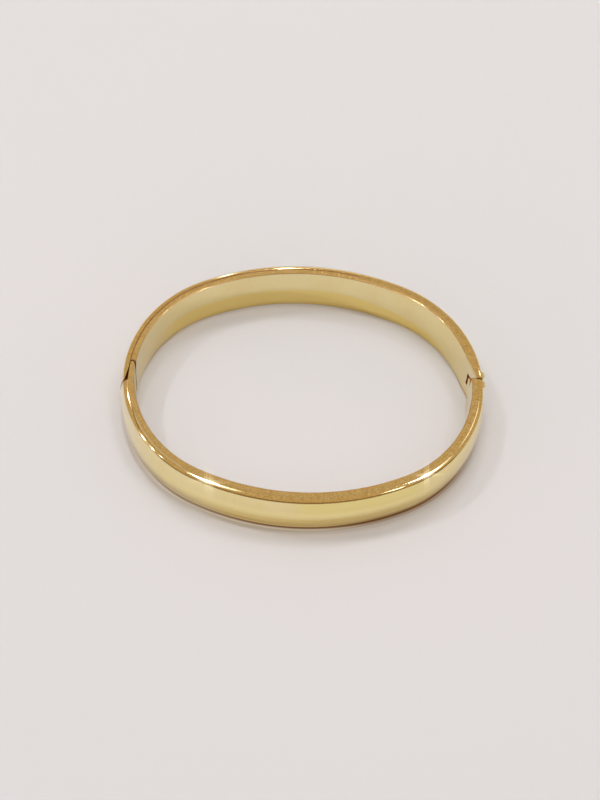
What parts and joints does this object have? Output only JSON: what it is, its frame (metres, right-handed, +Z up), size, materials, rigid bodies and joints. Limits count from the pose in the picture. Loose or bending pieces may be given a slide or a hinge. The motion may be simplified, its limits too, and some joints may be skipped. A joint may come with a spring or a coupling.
{
  "type": "bangle",
  "caption": "Oval hinged bangle of two half bands with a domed outer face, a hinge at one end and a tongue clasp at the other.",
  "frame": {"origin": "on the surface that the bangle lies on, under the middle of the oval", "axes": "+X along the oval's long axis towards the hinge, +Y towards the back half, +Z up through the wrist opening"},
  "size_m": [0.0652, 0.0512, 0.0096],
  "materials": {
    "gold": "polished gold, with satin inner strip edges",
    "pin": "satin"
  },
  "bodies": {
    "back": {"back_half": "gold", "hinge_pin": "pin"},
    "front": {"front_half": "gold"}
  },
  "joints": [
    {"name": "hinge", "type": "hinge", "parent": "back", "child": "front", "pos_m": [0.03177, 0.00133, 0.0048], "axis": [0, 0, 1], "range_deg": [0, 40]}
  ]
}
